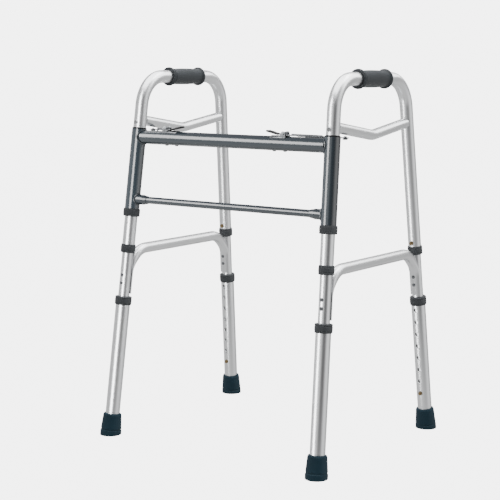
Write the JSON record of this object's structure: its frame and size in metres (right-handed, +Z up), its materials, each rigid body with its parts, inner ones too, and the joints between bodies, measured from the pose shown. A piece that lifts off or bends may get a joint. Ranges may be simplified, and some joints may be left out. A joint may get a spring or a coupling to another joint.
{
  "type": "folding walking frame",
  "caption": "Folding height-adjustable walking frame: hinged aluminium side frames with hand grips, crossbars, sprung release levers and telescopic rubber-footed legs.",
  "frame": {"origin": "on the floor, at the centre of the rectangle of the four feet", "axes": "+Z up; -Y points forwards, to the crossbars; node names use right for +X and left for -X"},
  "size_m": [0.536, 0.4644, 0.7319],
  "materials": {
    "painted_frame": "gloss grey-blue lacquer over steel tube",
    "tube_aluminium": "bright drawn and anodised tube",
    "collar_plastic": "moulded, fine matt",
    "grip_plastic": "moulded, ribbed for the fingers",
    "foot_rubber": "moulded, dull",
    "button_brass": "plated, lightly worn",
    "plated_steel": "zinc plated"
  },
  "bodies": {
    "front_frame": {"main_crossbar": "painted_frame", "lower_crossbar": "painted_frame", "lower_bar_saddle_left": "painted_frame", "hinge_sleeve_left": "painted_frame", "sleeve_bush_left": "collar_plastic", "sleeve_collar_left": "collar_plastic", "lever_bracket_left": "plated_steel", "lever_pivot_pin_left": "plated_steel", "lower_bar_saddle_right": "painted_frame", "hinge_sleeve_right": "painted_frame", "sleeve_bush_right": "collar_plastic", "sleeve_collar_right": "collar_plastic", "lever_bracket_right": "plated_steel", "lever_pivot_pin_right": "plated_steel"},
    "side_left": {"upper_tube_left": "tube_aluminium", "hand_grip_left": "grip_plastic", "side_bar_left": "tube_aluminium", "side_bar_screw_left": "plated_steel", "brace_left": "tube_aluminium", "mid_tube_front_left": "tube_aluminium", "upper_collar_front_left": "collar_plastic", "brace_rivets_front_left": "plated_steel", "mid_tube_rear_left": "tube_aluminium", "upper_collar_rear_left": "collar_plastic", "brace_rivets_rear_left": "plated_steel"},
    "lever_left": {"release_lever_left": "plated_steel", "lock_pin_left": "plated_steel"},
    "leg_front_left": {"leg_tube_front_left": "tube_aluminium", "leg_collar_front_left": "collar_plastic", "foot_front_left": "foot_rubber"},
    "upper_button_front_left": {"upper_button_front_left": "button_brass"},
    "height_button_front_left": {"height_button_front_left": "button_brass"},
    "leg_rear_left": {"leg_tube_rear_left": "tube_aluminium", "leg_collar_rear_left": "collar_plastic", "foot_rear_left": "foot_rubber"},
    "upper_button_rear_left": {"upper_button_rear_left": "button_brass"},
    "height_button_rear_left": {"height_button_rear_left": "button_brass"},
    "side_right": {"upper_tube_right": "tube_aluminium", "hand_grip_right": "grip_plastic", "side_bar_right": "tube_aluminium", "side_bar_screw_right": "plated_steel", "brace_right": "tube_aluminium", "mid_tube_front_right": "tube_aluminium", "upper_collar_front_right": "collar_plastic", "brace_rivets_front_right": "plated_steel", "mid_tube_rear_right": "tube_aluminium", "upper_collar_rear_right": "collar_plastic", "brace_rivets_rear_right": "plated_steel"},
    "lever_right": {"release_lever_right": "plated_steel", "lock_pin_right": "plated_steel"},
    "leg_front_right": {"leg_tube_front_right": "tube_aluminium", "leg_collar_front_right": "collar_plastic", "foot_front_right": "foot_rubber"},
    "upper_button_front_right": {"upper_button_front_right": "button_brass"},
    "height_button_front_right": {"height_button_front_right": "button_brass"},
    "leg_rear_right": {"leg_tube_rear_right": "tube_aluminium", "leg_collar_rear_right": "collar_plastic", "foot_rear_right": "foot_rubber"},
    "upper_button_rear_right": {"upper_button_rear_right": "button_brass"},
    "height_button_rear_right": {"height_button_rear_right": "button_brass"}
  },
  "joints": [
    {"name": "fold_right", "type": "hinge", "parent": "front_frame", "child": "side_right", "pos_m": [0.24379, -0.21089, 0], "axis": [-0.0325, 0.1159, 0.9927], "range_deg": [0, 80]},
    {"name": "fold_left", "type": "hinge", "parent": "front_frame", "child": "side_left", "pos_m": [-0.24379, -0.21089, 0], "axis": [-0.0325, -0.1159, -0.9927], "range_deg": [0, 56]},
    {"name": "lever_press_right", "type": "hinge", "parent": "front_frame", "child": "lever_right", "pos_m": [0.123, -0.14152, 0.6131], "axis": [0, 1, 0], "range_deg": [0, 3.5], "stiffness_Nm_per_rad": 1.2, "springref_deg": -3.44},
    {"name": "lever_press_left", "type": "hinge", "parent": "front_frame", "child": "lever_left", "pos_m": [-0.1525, -0.14152, 0.6131], "axis": [0, -1, 0], "range_deg": [0, 5], "stiffness_Nm_per_rad": 1.2, "springref_deg": -3.44},
    {"name": "leg_length_front_left", "type": "slide", "parent": "side_left", "child": "leg_front_left", "axis": [-0.0325, -0.1159, -0.9927], "range_m": [0, 0.175], "deforming": ["height_button_front_left"]},
    {"name": "upper_button_press_front_left", "type": "slide", "parent": "side_left", "child": "upper_button_front_left", "axis": [0.011, -0.9932, 0.1156], "range_m": [0, 0.005], "stiffness_N_per_m": 2500, "springref_m": -0.001},
    {"name": "height_button_press_front_left", "type": "slide", "parent": "side_left", "child": "height_button_front_left", "axis": [0.011, -0.9932, 0.1156], "range_m": [0, 0.005], "stiffness_N_per_m": 2500, "springref_m": -0.001},
    {"name": "leg_length_rear_left", "type": "slide", "parent": "side_left", "child": "leg_rear_left", "axis": [-0.0341, 0.1154, -0.9927], "range_m": [0, 0.175], "deforming": ["height_button_rear_left"]},
    {"name": "upper_button_press_rear_left", "type": "slide", "parent": "side_left", "child": "upper_button_rear_left", "axis": [-0.0032, 0.9933, 0.1156], "range_m": [0, 0.005], "stiffness_N_per_m": 2500, "springref_m": -0.001},
    {"name": "height_button_press_rear_left", "type": "slide", "parent": "side_left", "child": "height_button_rear_left", "axis": [-0.0032, 0.9933, 0.1156], "range_m": [0, 0.005], "stiffness_N_per_m": 2500, "springref_m": -0.001},
    {"name": "leg_length_front_right", "type": "slide", "parent": "side_right", "child": "leg_front_right", "axis": [0.0325, -0.1159, -0.9927], "range_m": [0, 0.175], "deforming": ["height_button_front_right"]},
    {"name": "upper_button_press_front_right", "type": "slide", "parent": "side_right", "child": "upper_button_front_right", "axis": [-0.011, -0.9932, 0.1156], "range_m": [0, 0.005], "stiffness_N_per_m": 2500, "springref_m": -0.001},
    {"name": "height_button_press_front_right", "type": "slide", "parent": "side_right", "child": "height_button_front_right", "axis": [-0.011, -0.9932, 0.1156], "range_m": [0, 0.005], "stiffness_N_per_m": 2500, "springref_m": -0.001},
    {"name": "leg_length_rear_right", "type": "slide", "parent": "side_right", "child": "leg_rear_right", "axis": [0.0341, 0.1154, -0.9927], "range_m": [0, 0.175], "deforming": ["height_button_rear_right"]},
    {"name": "upper_button_press_rear_right", "type": "slide", "parent": "side_right", "child": "upper_button_rear_right", "axis": [0.0032, 0.9933, 0.1156], "range_m": [0, 0.005], "stiffness_N_per_m": 2500, "springref_m": -0.001},
    {"name": "height_button_press_rear_right", "type": "slide", "parent": "side_right", "child": "height_button_rear_right", "axis": [0.0032, 0.9933, 0.1156], "range_m": [0, 0.005], "stiffness_N_per_m": 2500, "springref_m": -0.001}
  ]
}
